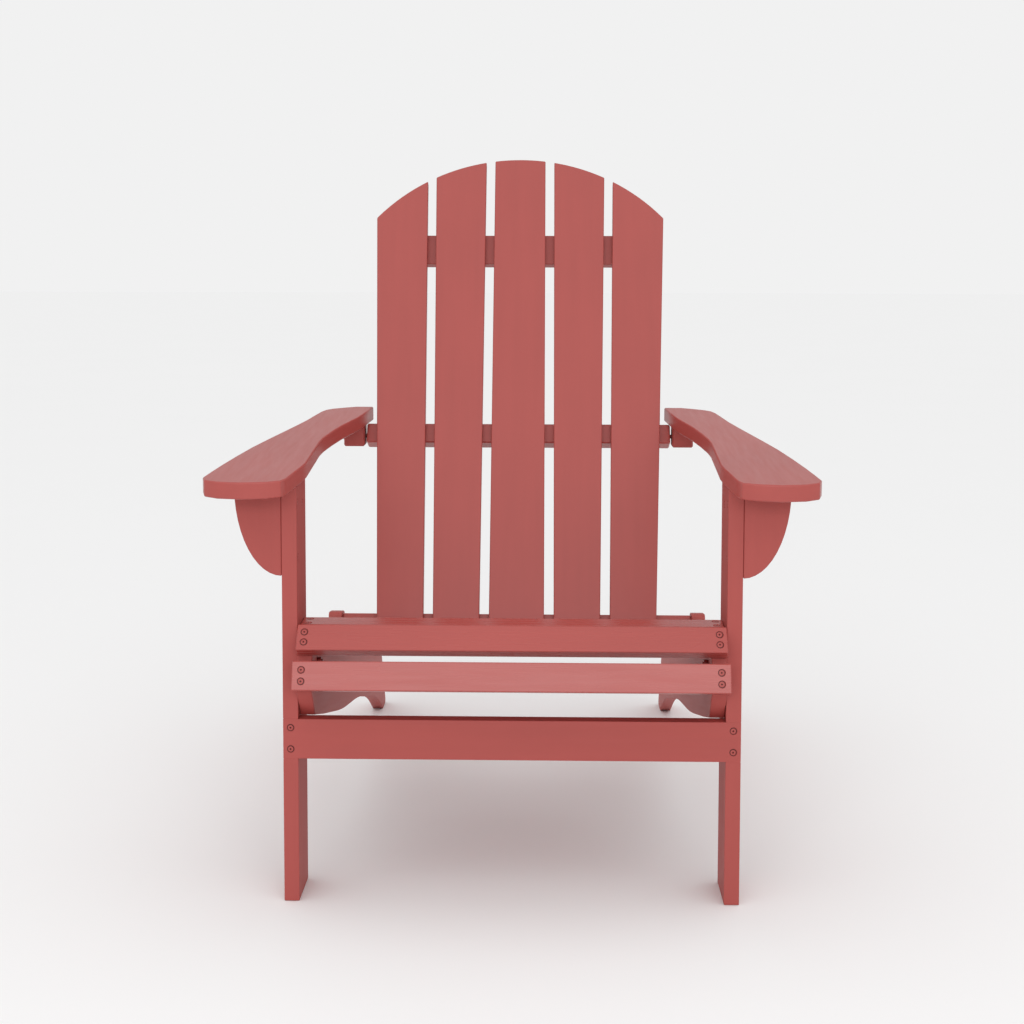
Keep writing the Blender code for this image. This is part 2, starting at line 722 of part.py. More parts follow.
def fix_leg_to_rail(chair, side, sign, leg, rail):
    length = 2 * BOARD + GAP + GAP + NUT_HEIGHT + BOLT_PAST_NUT
    bed = slat_lines()[len(FRONT_SLATS) - 1][1].y
    for index, drop in enumerate(RAIL_BOLT_DROPS, 1):
        height = bed - drop
        start = (sign * LEG_OUTER, LEG_DEPTH / 2, height)
        way = (-sign, 0, 0)
        hole = add_bolt(chair, "rail_bolt_%s_%d" % (side, index), start, way, length, [leg, rail])
        face = (sign * RAIL_INNER, LEG_DEPTH / 2, height)
        add_nut(chair, "rail_nut_%s_%d" % (side, index), face, way, hole)


def fix_arm_supports(chair, side, sign, leg, supports, back_rails):
    outward = (sign, 0, 0)
    for index, share in enumerate(BRACKET_SCREW_SHARES, 1):
        height = arm_underside(BRACKET_SETBACK) - BRACKET_HEIGHT * share
        start = (sign * LEG_INNER, BRACKET_MIDDLE, height)
        add_screw(chair, "bracket_screw_%s_%d" % (side, index), start, outward,
                  [leg, supports["bracket", side]])
    height = arm_underside(CLEAT_FRONT) - CLEAT_HEIGHT * CLEAT_SCREW_SHARE
    start = (sign * LEG_INNER, (CLEAT_FRONT + CLEAT_REAR) / 2, height)
    add_screw(chair, "cleat_screw_" + side, start, outward, [leg, supports["cleat", side]],
              SHORT_BITE)
    y, z = bar_middle()
    start = (sign * (MIDDLE_RAIL_HALF + BLOCK_SPACE + BLOCK_WIDTH), y, z)
    length = BLOCK_WIDTH + BLOCK_SPACE + BAR_BITE
    add_bolt(chair, "block_bolt_" + side, start, (-sign, 0, 0), length,
             [supports["block", side], back_rails["middle"]])


def fix_lower_rail(chair, side, sign, rail, back_rails):
    middle = lower_rail_low() + LOWER_RAIL_HEIGHT / 2
    y, z = back_point(BACK_BOARD + GAP + BOARD / 2, middle)
    start = (sign * EAR_OUTER, y, z)
    length = EAR_WIDTH + LOWER_RAIL_BITE
    add_bolt(chair, "lower_rail_bolt_" + side, start, (-sign, 0, 0), length,
             [rail, back_rails["lower"]])


def main():
    remove_all_objects()
    chair = Chair()
    legs = add_front_legs(chair)
    rails = add_side_rails(chair)
    apron = add_apron(chair)
    slats = add_seat_slats(chair)
    add_back_slats(chair)
    back_rails = add_back_rails(chair)
    add_arms(chair)
    supports = add_arm_supports(chair)
    for side, sign in SIDES:
        fix_apron(chair, side, sign, apron, legs[side])
        fix_front_slats(chair, side, sign, slats, rails[side])
        fix_leg_to_rail(chair, side, sign, legs[side], rails[side])
        fix_arm_supports(chair, side, sign, legs[side], supports, back_rails)
        fix_lower_rail(chair, side, sign, rails[side], back_rails)


main()
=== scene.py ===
"""Painted Adirondack chair: finished boards, screws, bolts, paint and a plain studio."""

import math

import bmesh
import bpy
from bpy.props import FloatProperty, FloatVectorProperty, PointerProperty
from mathutils import Matrix, Vector


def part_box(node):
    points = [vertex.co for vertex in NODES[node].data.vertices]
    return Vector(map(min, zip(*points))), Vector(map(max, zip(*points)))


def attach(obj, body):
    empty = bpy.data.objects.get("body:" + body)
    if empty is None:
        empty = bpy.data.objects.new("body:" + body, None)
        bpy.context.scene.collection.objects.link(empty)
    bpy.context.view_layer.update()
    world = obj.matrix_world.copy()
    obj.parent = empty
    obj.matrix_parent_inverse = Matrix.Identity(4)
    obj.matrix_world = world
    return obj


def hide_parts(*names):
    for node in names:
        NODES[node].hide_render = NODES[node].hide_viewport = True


bl_info = {
    "name": "Adirondack Chair Finish",
    "version": (1, 0, 0),
    "blender": (4, 5, 0),
    "location": "View3D > Sidebar > Chair",
    "description": "Finishes the boards, fixings and paint of a slatted garden chair",
    "category": "Object",
}

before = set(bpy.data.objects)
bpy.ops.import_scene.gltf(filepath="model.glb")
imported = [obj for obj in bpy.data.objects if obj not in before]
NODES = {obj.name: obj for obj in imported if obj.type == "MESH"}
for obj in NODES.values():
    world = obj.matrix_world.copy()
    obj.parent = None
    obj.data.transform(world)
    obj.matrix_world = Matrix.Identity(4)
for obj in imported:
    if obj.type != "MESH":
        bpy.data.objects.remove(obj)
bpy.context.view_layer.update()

UP = Vector((0, 0, 1))
ACROSS = Vector((1, 0, 0))
BACKWARD = Vector((0, 1, 0))


# How much rougher or smoother than the middle the paint of a slot has become.
WEAR = {"frame_paint": 0.22, "seat_paint": -0.09}

EDGE_ANGLE = math.radians(32)      # sharper edges than this are rounded
SHADE_ANGLE = math.radians(35)     # and sharper ones than this stay crisp
METAL_ANGLE = math.radians(40)     # the same for screws, bolts and nuts
BOLT_EDGE = 0.0004                 # rounding of the bolts and nuts

HEAD_DEPTH = 0.0002                # a screw head's top lies this far under the surface
HEAD_RISE = 0.0004                 # and stands this far above its coat
# The dark coated ring under a screw head paints shade into the groove round the head.
COAT_THICKNESS = 0.0004
COAT_SPACE = 0.0005                # between the coat's rim and the countersink's mouth
TIP_LENGTH = 0.002
TIP_SHARE = 0.15                   # of the shank's radius, left at the very tip
RECESS_SIZE = (0.0034, 0.0011, 0.0030)
RECESS_TAPER = 0.45

JOINT_PAINT = (0.0018, 0.0026)     # depth and height of the strips that fill the joints
JOINT_EDGE = 0.0003                # their rounding; they end twice this far from the leg's faces

CAMERA_SHIFT = -0.1363
CAMERA_YAW = 0.0205
CAMERA_PITCH = math.pi / 2 - 0.07435
CAMERA_ROLL = 0.0020
FLOOR_SIZE = 60
FLOOR_DROP = 0.0005                # the floor lies this far under the feet


# ---------------------------------------------------------------- settings

class ChairPaintSettings(bpy.types.PropertyGroup):
    """Colours and finish of the chair's paint and metal."""

    paint: FloatVectorProperty(
        name="Paint", description="Colour of the brushed paint", subtype='COLOR',
        size=3, min=0, max=1, default=(0.39, 0.066, 0.056))
    # Dark screw coat: its colour also paints the shade in the grooves round the screw heads and in
    # their cross recesses.
    coat_and_groove_shade: FloatVectorProperty(
        name="Screw coat", description="Dark coat seen in the grooves round screw heads",
        subtype='COLOR', size=3, min=0, max=1, default=(0.115, 0.010, 0.009))
    sheen_roughness: FloatProperty(
        name="Paint roughness", description="Middle roughness of the satin paint",
        min=0.05, max=1, default=0.35)
    grain_height: FloatProperty(
        name="Grain height", description="How far the wood's grain lifts the paint",
        subtype='DISTANCE', unit='LENGTH', min=0, max=0.002, default=0.0001)
    bolt_coat: FloatVectorProperty(
        name="Bolt coat", description="Colour of the coated bolts and nuts",
        subtype='COLOR', size=3, min=0, max=1, default=(0.29, 0.050, 0.045))


class ChairJointSettings(bpy.types.PropertyGroup):
    """Sizes of the eased edges and of the fixings that the frame leaves out."""

    edge_radius: FloatProperty(
        name="Edge radius", description="Rounding of the sanded board edges",
        subtype='DISTANCE', unit='LENGTH', min=0, max=0.003, default=0.0010)
    head_radius: FloatProperty(
        name="Screw head radius", description="Radius of a countersunk head",
        subtype='DISTANCE', unit='LENGTH', min=0.001, max=0.01, default=0.0034)
    sink_radius: FloatProperty(
        name="Countersink radius", description="Radius of the hole's mouth",
        subtype='DISTANCE', unit='LENGTH', min=0.001, max=0.01, default=0.0048)
    shank_radius: FloatProperty(
        name="Screw shank radius", description="Radius of a screw's shank",
        subtype='DISTANCE', unit='LENGTH', min=0.0005, max=0.005, default=0.0019)
    screw_bite: FloatProperty(
        name="Screw bite", description="How far added screws go into the second piece",
        subtype='DISTANCE', unit='LENGTH', min=0.002, max=0.03, default=0.010)


class ChairStageSettings(bpy.types.PropertyGroup):
    """Camera, lights and floor."""

    focal_length: FloatProperty(
        name="Focal length", description="Lens of the camera", subtype='DISTANCE_CAMERA',
        unit='CAMERA', min=10, max=200, default=57.0)
    camera_distance: FloatProperty(
        name="Camera distance", description="From the legs' front faces back to the camera",
        subtype='DISTANCE', unit='LENGTH', min=0.5, max=10, default=1.9847)
    camera_height: FloatProperty(
        name="Camera height", description="Height of the camera over the floor",
        subtype='DISTANCE', unit='LENGTH', min=0, max=3, default=0.8173)
    camera_offset: FloatProperty(
        name="Camera offset", description="How far the camera stands to the chair's side",
        subtype='DISTANCE', unit='LENGTH', min=-1, max=1, default=0.0405)
    backdrop: FloatProperty(
        name="Backdrop", description="Grey of the surroundings", min=0, max=1, default=0.88)
    surroundings: FloatProperty(
        name="Surroundings", description="Strength of the even light from all round",
        min=0, max=3, default=0.72)
    overhead: FloatProperty(
        name="Overhead light", description="Strength of the soft light from above",
        min=0, max=20, default=0.85)
    key_power: FloatProperty(
        name="Key light", description="Power of the long soft box in front of the chair",
        subtype='POWER', unit='POWER', min=0, max=500, default=24)


# ---------------------------------------------------------------- paint

def colour_ramp(nodes, stops):
    """A ramp through (position, grey) stops."""
    ramp = nodes.new('ShaderNodeValToRGB')
    for stop, (place, grey) in zip(ramp.color_ramp.elements, stops):
        stop.position = place
        stop.color = (grey, grey, grey, 1)
    return ramp


def board_coordinates(nodes, links, grain, seed, stretch):
    """Object coordinates with X along the grain, plain and stretched along it."""
    place = nodes.new('ShaderNodeTexCoord')
    turn = nodes.new('ShaderNodeMapping')
    turn.vector_type = 'POINT'
    turn.inputs['Rotation'].default_value = grain.rotation_difference(ACROSS).to_euler('XYZ')
    turn.inputs['Location'].default_value = (seed * 3.71, seed * 1.93, seed * 2.57)
    squeeze = nodes.new('ShaderNodeMapping')
    squeeze.inputs['Scale'].default_value = (1 / stretch, 1, 1)
    links.new(place.outputs['Object'], turn.inputs['Vector'])
    links.new(turn.outputs['Vector'], squeeze.inputs['Vector'])
    return turn, squeeze


def noise(nodes, links, source, scale, detail=4.0, roughness=0.55):
    pattern = nodes.new('ShaderNodeTexNoise')
    pattern.inputs['Scale'].default_value = scale
    pattern.inputs['Detail'].default_value = detail
    pattern.inputs['Roughness'].default_value = roughness
    links.new(source.outputs['Vector'], pattern.inputs['Vector'])
    return pattern


def tinted(nodes, links, factor, dark, light):
    """Mixes two colours by a grey value."""
    mix = nodes.new('ShaderNodeMix')
    mix.data_type = 'RGBA'
    mix.inputs['A'].default_value = (*dark, 1)
    mix.inputs['B'].default_value = (*light, 1)
    links.new(factor, mix.inputs['Factor'])
    return mix.outputs['Result']


def painted_wood(name, grain, seed, wear=0.0):
    """Satin paint brushed over planed softwood, whose grain still shows a little."""
    settings = bpy.context.scene.chair_paint
    material = bpy.data.materials.new(name)
    material.use_nodes = True
    nodes = material.node_tree.nodes
    links = material.node_tree.links
    shader = nodes["Principled BSDF"]
    board, fibre = board_coordinates(nodes, links, grain.normalized(), seed, 14)
    blotches = noise(nodes, links, board, 7, 3)
    streaks = noise(nodes, links, fibre, 70, 5)
    fine = noise(nodes, links, fibre, 330, 3, 0.6)
    brush = noise(nodes, links, fibre, 150, 2)
    paint = Vector(settings.paint)
    dark = paint * 0.96
    light = paint * 1.035
    shade = nodes.new('ShaderNodeMath')
    shade.operation = 'MULTIPLY_ADD'
    shade.inputs[1].default_value = 0.5
    links.new(streaks.outputs['Fac'], shade.inputs[0])
    half_blotch = nodes.new('ShaderNodeMath')
    half_blotch.operation = 'MULTIPLY'
    half_blotch.inputs[1].default_value = 0.5
    links.new(blotches.outputs['Fac'], half_blotch.inputs[0])
    links.new(half_blotch.outputs['Value'], shade.inputs[2])
    ramp = colour_ramp(nodes, ((0.34, 0.0), (0.66, 1.0)))
    links.new(shade.outputs['Value'], ramp.inputs['Fac'])
    links.new(tinted(nodes, links, ramp.outputs['Color'], dark, light), shader.inputs['Base Color'])
    gloss = nodes.new('ShaderNodeMapRange')
    gloss.inputs['To Min'].default_value = settings.sheen_roughness + wear - 0.05
    gloss.inputs['To Max'].default_value = settings.sheen_roughness + wear + 0.08
    links.new(brush.outputs['Fac'], gloss.inputs['Value'])
    links.new(gloss.outputs['Result'], shader.inputs['Roughness'])
    lift = nodes.new('ShaderNodeMath')
    lift.operation = 'MULTIPLY_ADD'
    lift.inputs[1].default_value = 0.35
    links.new(fine.outputs['Fac'], lift.inputs[0])
    links.new(streaks.outputs['Fac'], lift.inputs[2])
    bump = nodes.new('ShaderNodeBump')
    bump.inputs['Strength'].default_value = 0.55
    bump.inputs['Distance'].default_value = settings.grain_height
    links.new(lift.outputs['Value'], bump.inputs['Height'])
    links.new(bump.outputs['Normal'], shader.inputs['Normal'])
    return material


def plain_surface(name, colour, roughness, grit):
    """A painted or coated fixing with slight changes of roughness and a fine surface."""
    material = bpy.data.materials.new(name)
    material.use_nodes = True
    nodes = material.node_tree.nodes
    links = material.node_tree.links
    shader = nodes["Principled BSDF"]
    place = nodes.new('ShaderNodeTexCoord')
    pattern = nodes.new('ShaderNodeTexNoise')
    pattern.inputs['Scale'].default_value = grit
    pattern.inputs['Detail'].default_value = 4
    links.new(place.outputs['Object'], pattern.inputs['Vector'])
    colour = Vector(colour)
    shade = tinted(nodes, links, pattern.outputs['Fac'], colour * 0.85, colour * 1.12)
    links.new(shade, shader.inputs['Base Color'])
    rough = nodes.new('ShaderNodeMapRange')
    rough.inputs['To Min'].default_value = roughness - 0.08
    rough.inputs['To Max'].default_value = roughness + 0.08
    links.new(pattern.outputs['Fac'], rough.inputs['Value'])
    links.new(rough.outputs['Result'], shader.inputs['Roughness'])
    bump = nodes.new('ShaderNodeBump')
    bump.inputs['Strength'].default_value = 0.2
    bump.inputs['Distance'].default_value = 0.0001
    links.new(pattern.outputs['Fac'], bump.inputs['Height'])
    links.new(bump.outputs['Normal'], shader.inputs['Normal'])
    return material


def shared_material(name, build):
    """The material of that name, made the first time that it is asked for."""
    return bpy.data.materials.get(name) or build(name)


# The screws' dark coat, whose colour also paints the shade in the grooves round the heads and in
# the cross recesses.
def screw_coat():
    settings = bpy.context.scene.chair_paint
    return shared_material(
        "screw_coat", lambda name: plain_surface(name, settings.coat_and_groove_shade, 0.5, 900))


def head_paint():
    settings = bpy.context.scene.chair_paint
    return shared_material(
        "screw_head_paint", lambda name: plain_surface(name, settings.paint, 0.45, 700))


def bolt_coat():
    settings = bpy.context.scene.chair_paint
    return shared_material(
        "bolt_coat", lambda name: plain_surface(name, settings.bolt_coat, 0.42, 420))


# ---------------------------------------------------------------- making

def select_only(*objects):
    bpy.ops.object.select_all(action='DESELECT')
    for thing in objects:
        thing.select_set(True)
    bpy.context.view_layer.objects.active = objects[0]


def apply_modifier(piece, kind, **values):
    select_only(piece)
    modifier = piece.modifiers.new(kind.title(), kind)
    for name, value in values.items():
        setattr(modifier, name, value)
    bpy.ops.object.modifier_apply(modifier=modifier.name)


def copied_board(node, name):
    """A board's solid as a clean mesh of its own: merged, with its flat faces joined up."""
    piece = NODES[node].copy()
    piece.data = NODES[node].data.copy()
    piece.parent = None
    piece.name = name
    piece.data.name = name
    for key in list(piece.keys()):
        del piece[key]
    bpy.context.scene.collection.objects.link(piece)
    select_only(piece)
    bpy.ops.object.mode_set(mode='EDIT')
    bpy.ops.mesh.select_all(action='SELECT')
    bpy.ops.mesh.remove_doubles(threshold=0.00001)
    bpy.ops.mesh.customdata_custom_splitnormals_clear()
    bpy.ops.mesh.dissolve_limited(angle_limit=math.radians(0.4))
    bpy.ops.mesh.normals_make_consistent(inside=False)
    bpy.ops.object.mode_set(mode='OBJECT')
    return piece


def finish_board(piece, node, grain, seed, slot):
    """Rounds the edges, shades, paints and hangs the board on the chair."""
    joints = bpy.context.scene.chair_joints
    apply_modifier(piece, 'BEVEL', width=joints.edge_radius, segments=2, limit_method='ANGLE',
                   angle_limit=EDGE_ANGLE, use_clamp_overlap=True, harden_normals=False)
    select_only(piece)
    bpy.ops.object.shade_smooth_by_angle(angle=SHADE_ANGLE)
    apply_modifier(piece, 'WEIGHTED_NORMAL', mode='FACE_AREA', weight=100, keep_sharp=True)
    piece.data.materials.clear()
    paint = painted_wood(piece.name + "_paint", grain, seed, WEAR.get(slot, 0.0))
    piece.data.materials.append(paint)
    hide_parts(node)
    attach(piece, "root")
    return piece


def facing(start, out):
    """Places a piece whose local +Z points out of the surface."""
    return Matrix.Translation(start) @ out.to_track_quat('Z', 'Y').to_matrix().to_4x4()


def countersink_cutter(places):
    """One cutter for all the countersunk holes of a board."""
    joints = bpy.context.scene.chair_joints
    cutters = []
    depth = joints.sink_radius - joints.shank_radius
    for start, out, _ in places:
        bpy.ops.object.select_all(action='DESELECT')
        bpy.ops.mesh.primitive_cone_add(
            vertices=24, radius1=joints.shank_radius, radius2=joints.sink_radius + depth * 0.4,
            depth=depth * 1.4)
        cone = bpy.context.object
        cone.matrix_world = facing(start, out) @ Matrix.Translation((0, 0, -depth * 0.3))
        cutters.append(cone)
    select_only(*cutters)
    if len(cutters) > 1:
        bpy.ops.object.join()
    bpy.ops.object.transform_apply(location=True, rotation=True, scale=True)
    return bpy.context.view_layer.objects.active


def sink(board, places):
    """Cuts the countersinks of the given screws into a board."""
    cutter = countersink_cutter(places)
    apply_modifier(board, 'BOOLEAN', operation='DIFFERENCE', solver='EXACT', object=cutter)
    bpy.data.objects.remove(cutter, do_unlink=True)


def recess_cutter(head_top):
    """Two crossed, tapered blades that leave a cross recess in a screw head."""
    blades = []
    for turn in (0, math.pi / 2):
        bpy.ops.object.select_all(action='DESELECT')
        bpy.ops.mesh.primitive_cube_add(size=1, location=(0, 0, head_top - 0.0003))
        blade = bpy.context.object
        blade.scale = RECESS_SIZE
        blade.rotation_euler = (0, 0, turn)
        bpy.ops.object.transform_apply(location=True, rotation=True, scale=True)
        for corner in blade.data.vertices:
            if corner.co.z < head_top - 0.001:
                corner.co.x *= RECESS_TAPER
                corner.co.y *= RECESS_TAPER
        blades.append(blade)
    apply_modifier(blades[0], 'BOOLEAN', operation='UNION', solver='EXACT', object=blades[1])
    bpy.data.objects.remove(blades[1], do_unlink=True)
    return blades[0]


def model_screw(length):
    """A countersunk cross-head screw with its head's top a little under Z = 0."""
    joints = bpy.context.scene.chair_joints
    head_top = -HEAD_DEPTH
    coat_radius = joints.sink_radius - COAT_SPACE
    bpy.ops.object.select_all(action='DESELECT')
    bpy.ops.mesh.primitive_cylinder_add(
        vertices=24, radius=coat_radius, depth=COAT_THICKNESS,
        location=(0, 0, head_top - HEAD_RISE - COAT_THICKNESS / 2))
    screw = bpy.context.object
    screw.name = "screw_pattern"
    bpy.ops.object.transform_apply(location=True, rotation=True, scale=True)
    bpy.ops.object.mode_set(mode='EDIT')
    work = bmesh.from_edit_mesh(screw.data)
    for face in work.faces:
        face.select = face.normal.z < -0.9
    bmesh.update_edit_mesh(screw.data)
    cone = coat_radius - joints.shank_radius
    narrow = joints.shank_radius / coat_radius
    bpy.ops.mesh.extrude_region_move(TRANSFORM_OT_translate={"value": (0, 0, -cone)})
    bpy.ops.transform.resize(value=(narrow, narrow, 1))
    shank = length - cone - TIP_LENGTH - COAT_THICKNESS - HEAD_RISE - HEAD_DEPTH
    bpy.ops.mesh.extrude_region_move(TRANSFORM_OT_translate={"value": (0, 0, -shank)})
    bpy.ops.mesh.extrude_region_move(TRANSFORM_OT_translate={"value": (0, 0, -TIP_LENGTH)})
    bpy.ops.transform.resize(value=(TIP_SHARE, TIP_SHARE, 1))
    for face in work.faces:
        face.select = face.normal.z > 0.9
    bmesh.update_edit_mesh(screw.data)
    bpy.ops.mesh.inset(thickness=coat_radius - joints.head_radius)
    bpy.ops.mesh.extrude_region_move(TRANSFORM_OT_translate={"value": (0, 0, HEAD_RISE)})
    bpy.ops.mesh.bevel(offset=0.0002, segments=2, affect='EDGES')
    bpy.ops.object.mode_set(mode='OBJECT')
    cutter = recess_cutter(head_top)
    apply_modifier(screw, 'BOOLEAN', operation='DIFFERENCE', solver='EXACT', object=cutter)
    bpy.data.objects.remove(cutter, do_unlink=True)
    # All but the head's top takes the dark coat, so the groove round the head and the cross recess
    # are painted as shaded.
    screw.data.materials.clear()
    screw.data.materials.append(screw_coat())
    screw.data.materials.append(head_paint())
    for face in screw.data.polygons:
        on_top = face.normal.z > 0.3 and face.center.z > head_top - HEAD_RISE * 0.6
        face.material_index = 1 if on_top else 0
    select_only(screw)
    bpy.ops.object.shade_smooth_by_angle(angle=METAL_ANGLE)
    return screw


def screw_of_length(patterns, length):
    """The pattern screw of that length, modelled the first time that it is asked for."""
    size = round(length, 4)
    if size not in patterns:
        patterns[size] = model_screw(size)
    return patterns[size]


def place_copy(pattern, name, start, out):
    """A copy of a pattern piece, with its own mesh, standing on a surface."""
    piece = pattern.copy()
    piece.data = pattern.data.copy()
    piece.name = name
    bpy.context.scene.collection.objects.link(piece)
    piece.data.transform(facing(start, out))
    piece.data.name = name
    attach(piece, "root")
    return piece


def turned_axis(node):
    """Middle of a screw's head, the direction out of it and the screw's length."""
    points = [corner.co for corner in NODES[node].data.vertices]
    far = max(points, key=lambda place: (place - points[0]).length)
    near = max(points, key=lambda place: (place - far).length)
    rough = (near - far).normalized()
    spans = sorted(points, key=lambda place: place.dot(rough))
    ends = []
    for end in (spans[0], spans[-1]):
        close = [place for place in points if abs((place - end).dot(rough)) < 0.004]
        middle = sum(close, Vector()) / len(close)
        reach = max((place - middle).length for place in close)
        ends.append((reach, middle))
    ends.sort(key=lambda item: item[0])
    out = (ends[1][1] - ends[0][1]).normalized()
    for _ in range(3):
        crown = max(place.dot(out) for place in points)
        ring = [place for place in points if crown - place.dot(out) < 0.0005]
        foot_level = min(place.dot(out) for place in points)
        foot = [place for place in points if place.dot(out) - foot_level < 0.0005]
        top = sum(ring, Vector()) / len(ring)
        bottom = sum(foot, Vector()) / len(foot)
        out = (top - bottom).normalized()
    crown = max(place.dot(out) for place in points)
    return bottom + out * (crown - bottom.dot(out)), out, crown - foot_level


def middle_of(node):
    low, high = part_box(node)
    return (low + high) / 2


def thickness_normal(node, toward):
    """Unit normal of the node's largest flat face, on the side nearest to a direction."""
    areas = {}
    mesh = NODES[node].data
    for face in mesh.polygons:
        key = tuple(round(part, 2) for part in face.normal)
        areas[key] = areas.get(key, 0) + face.area
    best = max(areas, key=areas.get)
    exact = [face.normal.copy() for face in mesh.polygons
             if tuple(round(part, 2) for part in face.normal) == best]
    normal = sum(exact, Vector()).normalized()
    return normal if normal.dot(toward) > 0 else -normal


# ---------------------------------------------------------------- boards

def fall_of_seat():
    return (middle_of("seat_slat_8") - middle_of("seat_slat_4")).normalized()


def way_up_back():
    """Up the face of the back, square to its thickness and to the chair's width."""
    return ACROSS.cross(thickness_normal("back_slat_3", BACKWARD)).normalized()


def seat_screw_places(node):
    """Two screws in each end of a seat slat, above the side rails."""
    normal = thickness_normal(node, UP)
    along = ACROSS.cross(normal).normalized()
    middle = middle_of(node)
    low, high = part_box(node)
    leg_low, leg_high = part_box("front_leg_right")
    board = leg_high.x - leg_low.x
    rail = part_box("side_rail_right")[0].x + board / 2
    width = abs((high - low).dot(Vector((0, abs(along.y), -abs(along.z))))) or 0.04
    spread = min(0.0125, width * 0.28)
    top = middle + normal * (board / 2)
    places = []
    for side in (-1, 1):
        for step in (-1, 1):
            spot = Vector((side * rail, top.y, top.z)) + along * (spread * step)
            places.append((spot, normal, board))
    return places


def back_screw_places():
    """Two screws from behind through each back rail into each slat, by rail."""
    out = thickness_normal("back_slat_3", BACKWARD)
    places = {}
    for rail, spread in (("upper_back_rail", 0.014), ("middle_back_rail", 0.0),
                         ("lower_back_rail", 0.0)):
        middle = middle_of(rail)
        depth = max((corner.co - middle).dot(out) for corner in NODES[rail].data.vertices)
        face = middle + out * depth
        up = way_up_back()
        places[rail] = []
        for number in range(1, 6):
            slat = "back_slat_%d" % number
            centre = slat_middle_at(slat, face)
            across = 0.017 if number == 3 else 0.014
            for step in (-1, 1):
                spot = Vector((centre + across * step, face.y, face.z)) + up * (spread * step)
                places[rail].append((spot, out, depth * 2))
    return places


def slat_middle_at(slat, level):
    """Where the middle of a back slat lies, left to right, at the level of a point."""
    up = way_up_back()
    mesh = NODES[slat].data
    across = []
    for edge in mesh.edges:
        first, second = (mesh.vertices[corner].co for corner in edge.vertices)
        below = (level - first).dot(up)
        above = (second - level).dot(up)
        if below * above > 0:
            across.append(first.x + (second.x - first.x) * below / (below + above))
    return (min(across) + max(across)) / 2


def arm_screw_places(side):
    """Screws up into an arm from the undersides of its cleat and block, by piece."""
    places = {}
    for kind in ("cleat", "block"):
        node = "arm_%s_%s" % (kind, side)
        low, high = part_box(node)
        middle = middle_of(node)
        spots = []
        for step in (-1, 1):
            y = middle.y + (high.y - low.y) * 0.26 * step
            spots.append((Vector((middle.x, y, low.z)), -UP, high.z - low.z))
        places[node] = spots
    return places


class CHAIR_OT_lower_frame(bpy.types.Operator):
    """Finish the front legs, the side rails and the apron"""
    bl_idname = "chair.lower_frame"
    bl_label = "Legs, Rails and Apron"

    def execute(self, context):
        seed = 1
        for side in ("left", "right"):
            leg = "front_leg_" + side
            finish_board(copied_board(leg, leg + "_board"), leg, UP, seed, "frame_paint")
            rail = "side_rail_" + side
            finish_board(copied_board(rail, rail + "_board"), rail, fall_of_seat(), seed + 1,
                         "frame_paint")
            seed += 2
        finish_board(copied_board("apron", "apron_board"), "apron", ACROSS, seed, "frame_paint")
        for side in ("left", "right"):
            bridge_joints(side, seed + 1)
        return {'FINISHED'}


def bridge_joints(side, seed):
    """Paint that fills the fine joints where the apron is let into a leg's front edge."""
    leg_low, leg_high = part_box("front_leg_" + side)
    low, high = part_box("apron")
    for end, level in (("lower", low.z), ("upper", high.z)):
        bpy.ops.object.select_all(action='DESELECT')
        bpy.ops.mesh.primitive_cube_add(
            size=1, location=((leg_low.x + leg_high.x) / 2, low.y + 0.0011, level),
            scale=(leg_high.x - leg_low.x - JOINT_EDGE * 4, *JOINT_PAINT))
        bridge = bpy.context.object
        bridge.name = "joint_paint_%s_%s" % (side, end)
        bridge.data.name = bridge.name
        bpy.ops.object.transform_apply(location=True, rotation=True, scale=True)
        apply_modifier(bridge, 'BEVEL', width=JOINT_EDGE, segments=2)
        bridge.data.materials.append(painted_wood(bridge.name, UP, seed, WEAR["frame_paint"]))
        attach(bridge, "root")


class CHAIR_OT_seat(bpy.types.Operator):
    """Finish the seat slats and countersink the ones behind the front curve"""
    bl_idname = "chair.seat"
    bl_label = "Seat Slats"

    def execute(self, context):
        for number in range(1, 9):
            node = "seat_slat_%d" % number
            board = copied_board(node, node + "_board")
            if number > 2:
                sink(board, seat_screw_places(node))
            finish_board(board, node, ACROSS, 10 + number, "seat_paint")
        return {'FINISHED'}


class CHAIR_OT_back(bpy.types.Operator):
    """Finish the back slats and the three rails that hold them"""
    bl_idname = "chair.back"
    bl_label = "Back Slats and Rails"

    def execute(self, context):
        up = way_up_back()
        for number in range(1, 6):
            node = "back_slat_%d" % number
            finish_board(copied_board(node, node + "_board"), node, up, 20 + number, "back_paint")
        for index, (rail, places) in enumerate(back_screw_places().items()):
            board = copied_board(rail, rail + "_board")
            sink(board, places)
            finish_board(board, rail, ACROSS, 30 + index, "back_paint")
        return {'FINISHED'}


class CHAIR_OT_arms(bpy.types.Operator):
    """Finish the arms with their brackets, cleats and rear blocks"""
    bl_idname = "chair.arms"
    bl_label = "Arms and Supports"

    def execute(self, context):
        for index, side in enumerate(("left", "right")):
            arm = "arm_" + side
            finish_board(copied_board(arm, arm + "_board"), arm, BACKWARD, 40 + index, "arm_paint")
            bracket = "arm_bracket_" + side
            finish_board(copied_board(bracket, bracket + "_board"), bracket, UP, 44 + index,
                         "frame_paint")
            for node, places in arm_screw_places(side).items():
                board = copied_board(node, node + "_board")
                sink(board, places)
                finish_board(board, node, BACKWARD, 50 + index, "frame_paint")
        return {'FINISHED'}


